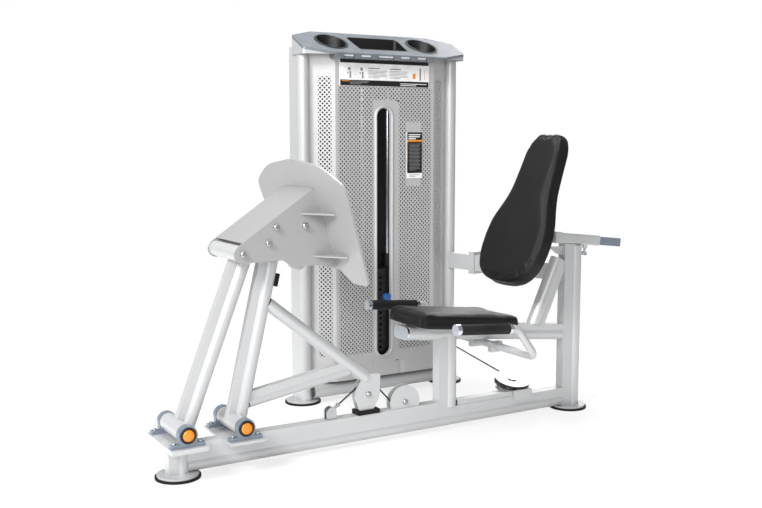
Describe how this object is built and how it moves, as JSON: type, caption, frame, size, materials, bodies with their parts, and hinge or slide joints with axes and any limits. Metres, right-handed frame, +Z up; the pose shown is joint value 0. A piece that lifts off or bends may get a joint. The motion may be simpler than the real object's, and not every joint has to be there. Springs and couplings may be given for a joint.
{
  "type": "leg extension machine",
  "caption": "Seated leg machine with a linkage-mounted foot plate, sliding backrest and a cable-driven selectorised weight tower.",
  "frame": {"origin": "centre of the front foot's underside, on the floor", "axes": "+X along the base beam towards the backrest, +Y towards the weight tower, +Z up"},
  "size_m": [2.0052, 1.0292, 1.532],
  "materials": {
    "silver_paint": "satin metallic silver-grey powder coat",
    "pale_paint": "nearly white satin powder coat",
    "panel_paint": "satin metallic grey perforated steel sheet",
    "zinc": "zinc-plated steel",
    "chrome": "polished chrome",
    "bearing_iron": "blue-grey painted cast iron",
    "plate_iron": "black enamelled cast iron",
    "black_rubber": "matt black rubber",
    "black_plastic": "matt black plastic",
    "gloss_black": "glossy black plastic",
    "cap_grey": "satin blue-grey metallic moulding",
    "orange_plastic": "orange plastic",
    "placard_white": "bare white laminate",
    "vinyl": "black upholstery vinyl"
  },
  "bodies": {
    "root": {"foot_pads": "black_rubber", "foot_plates": "silver_paint", "base_beam": "silver_paint", "cable_channel": "silver_paint", "seat_post": "silver_paint", "rear_post": "silver_paint", "seat_beam": "silver_paint", "back_brace": "silver_paint", "chrome_caps": "chrome", "bearing_plates": "silver_paint", "pillow_bearings": "bearing_iron", "bearing_seals": "black_plastic", "bearing_caps": "orange_plastic", "rubber_stops": "black_rubber", "pulley_axles": "zinc", "pulley_brackets": "silver_paint", "turn_pulley_cover": "gloss_black", "cable_anchor": "zinc", "cable_lever_run": "black_plastic", "cable_main_run": "black_plastic", "cable_stack_run": "black_plastic", "seat_brackets": "silver_paint", "seat_pad": "vinyl", "handle_tube": "silver_paint", "handle_grips": "black_rubber", "slide_sleeve": "silver_paint", "tower_posts": "silver_paint", "tower_tubes": "silver_paint", "front_panel": "panel_paint", "rear_panel": "panel_paint", "tower_cap": "cap_grey", "cap_liners": "black_plastic", "cap_fascia": "black_plastic", "placards": "placard_white", "guide_rods": "chrome", "resting_plates": "plate_iron"},
    "rear_arm": {"rear_arm_tube": "silver_paint", "rear_arm_hubs": "silver_paint", "lever_triangle": "silver_paint", "lever_cheeks": "silver_paint", "arm_bumper": "black_rubber"},
    "front_arm": {"front_arm_tube": "silver_paint", "front_arm_hubs": "silver_paint"},
    "carriage": {"carriage_plates": "pale_paint", "carriage_bolts": "zinc", "foot_plate": "pale_paint"},
    "lever_pulley": {"lever_pulley": "black_plastic"},
    "beam_pulley": {"beam_pulley": "black_plastic"},
    "turn_pulley": {"turn_pulley": "black_plastic"},
    "tower_pulley": {"tower_pulley": "black_plastic"},
    "top_pulley_rear": {"top_pulley_rear": "black_plastic"},
    "top_pulley_middle": {"top_pulley_middle": "black_plastic"},
    "weight_stack": {"lifted_plates": "plate_iron", "stack_head": "plate_iron"},
    "selector": {"selector_pin": "chrome"},
    "backrest": {"back_pad": "vinyl", "back_bracket": "silver_paint", "slide_bar": "silver_paint"},
    "slide_pin": {"slide_pin": "chrome"}
  },
  "joints": [
    {"name": "rear_arm_swing", "type": "hinge", "parent": "root", "child": "rear_arm", "pos_m": [0.198, 0, 0.159], "axis": [0, -1, 0], "range_deg": [0, 27.5], "deforming": ["cable_lever_run"]},
    {"name": "front_arm_swing", "type": "hinge", "parent": "root", "child": "front_arm", "pos_m": [0, 0, 0.166], "axis": [0, -1, 0], "range_deg": [0, 33.5]},
    {"name": "carriage_turn", "type": "hinge", "parent": "rear_arm", "child": "carriage", "pos_m": [0.308, 0, 0.811], "axis": [0, -1, 0], "range_deg": [-45, 0]},
    {"name": "stack_lift", "type": "slide", "parent": "root", "child": "weight_stack", "axis": [0, 0, 1], "range_m": [0, 0.43], "deforming": ["cable_stack_run"]},
    {"name": "selector_draw", "type": "slide", "parent": "weight_stack", "child": "selector", "axis": [0, -1, 0], "range_m": [0, 0.1]},
    {"name": "backrest_slide", "type": "slide", "parent": "root", "child": "backrest", "axis": [0.9936, 0, -0.1132], "range_m": [-0.1, 0]},
    {"name": "slide_pin_draw", "type": "slide", "parent": "root", "child": "slide_pin", "axis": [-0.1132, 0, -0.9936], "range_m": [-0.012, 0.004]},
    {"name": "lever_pulley_spin", "type": "hinge", "parent": "rear_arm", "child": "lever_pulley", "pos_m": [0.711, 0, 0.184], "axis": [0, -1, 0], "range_deg": [0, 205.7]},
    {"name": "beam_pulley_spin", "type": "hinge", "parent": "root", "child": "beam_pulley", "pos_m": [0.867, 0, 0.134], "axis": [0, 1, 0], "range_deg": [0, 692.3]},
    {"name": "turn_pulley_spin", "type": "hinge", "parent": "root", "child": "turn_pulley", "pos_m": [1.41, 0.0483, 0.11194], "axis": [0, 0.2588, -0.9659], "range_deg": [0, 485.2]},
    {"name": "tower_pulley_spin", "type": "hinge", "parent": "root", "child": "tower_pulley", "pos_m": [1.35564, 0.59754, 0.29013], "axis": [-0.9821, -0.1881, 0], "range_deg": [0, 807.3]},
    {"name": "top_pulley_rear_spin", "type": "hinge", "parent": "root", "child": "top_pulley_rear", "pos_m": [1.31, 0.627, 1.385], "axis": [0, 1, 0], "range_deg": [0, 606]},
    {"name": "top_pulley_middle_spin", "type": "hinge", "parent": "root", "child": "top_pulley_middle", "pos_m": [1.158, 0.627, 1.385], "axis": [0, 1, 0], "range_deg": [0, 606]}
  ],
  "couplings": [
    {"joint": "front_arm_swing", "follows": "rear_arm_swing", "ratio": 1.174},
    {"joint": "carriage_turn", "follows": "rear_arm_swing", "ratio": -1.595},
    {"joint": "stack_lift", "follows": "rear_arm_swing", "m_per_rad": 0.8613},
    {"joint": "lever_pulley_spin", "follows": "rear_arm_swing", "ratio": 7.262},
    {"joint": "beam_pulley_spin", "follows": "rear_arm_swing", "ratio": 24.609},
    {"joint": "turn_pulley_spin", "follows": "rear_arm_swing", "ratio": 17.226},
    {"joint": "tower_pulley_spin", "follows": "rear_arm_swing", "ratio": 28.71},
    {"joint": "top_pulley_rear_spin", "follows": "rear_arm_swing", "ratio": 21.532},
    {"joint": "top_pulley_middle_spin", "follows": "rear_arm_swing", "ratio": 21.532}
  ]
}
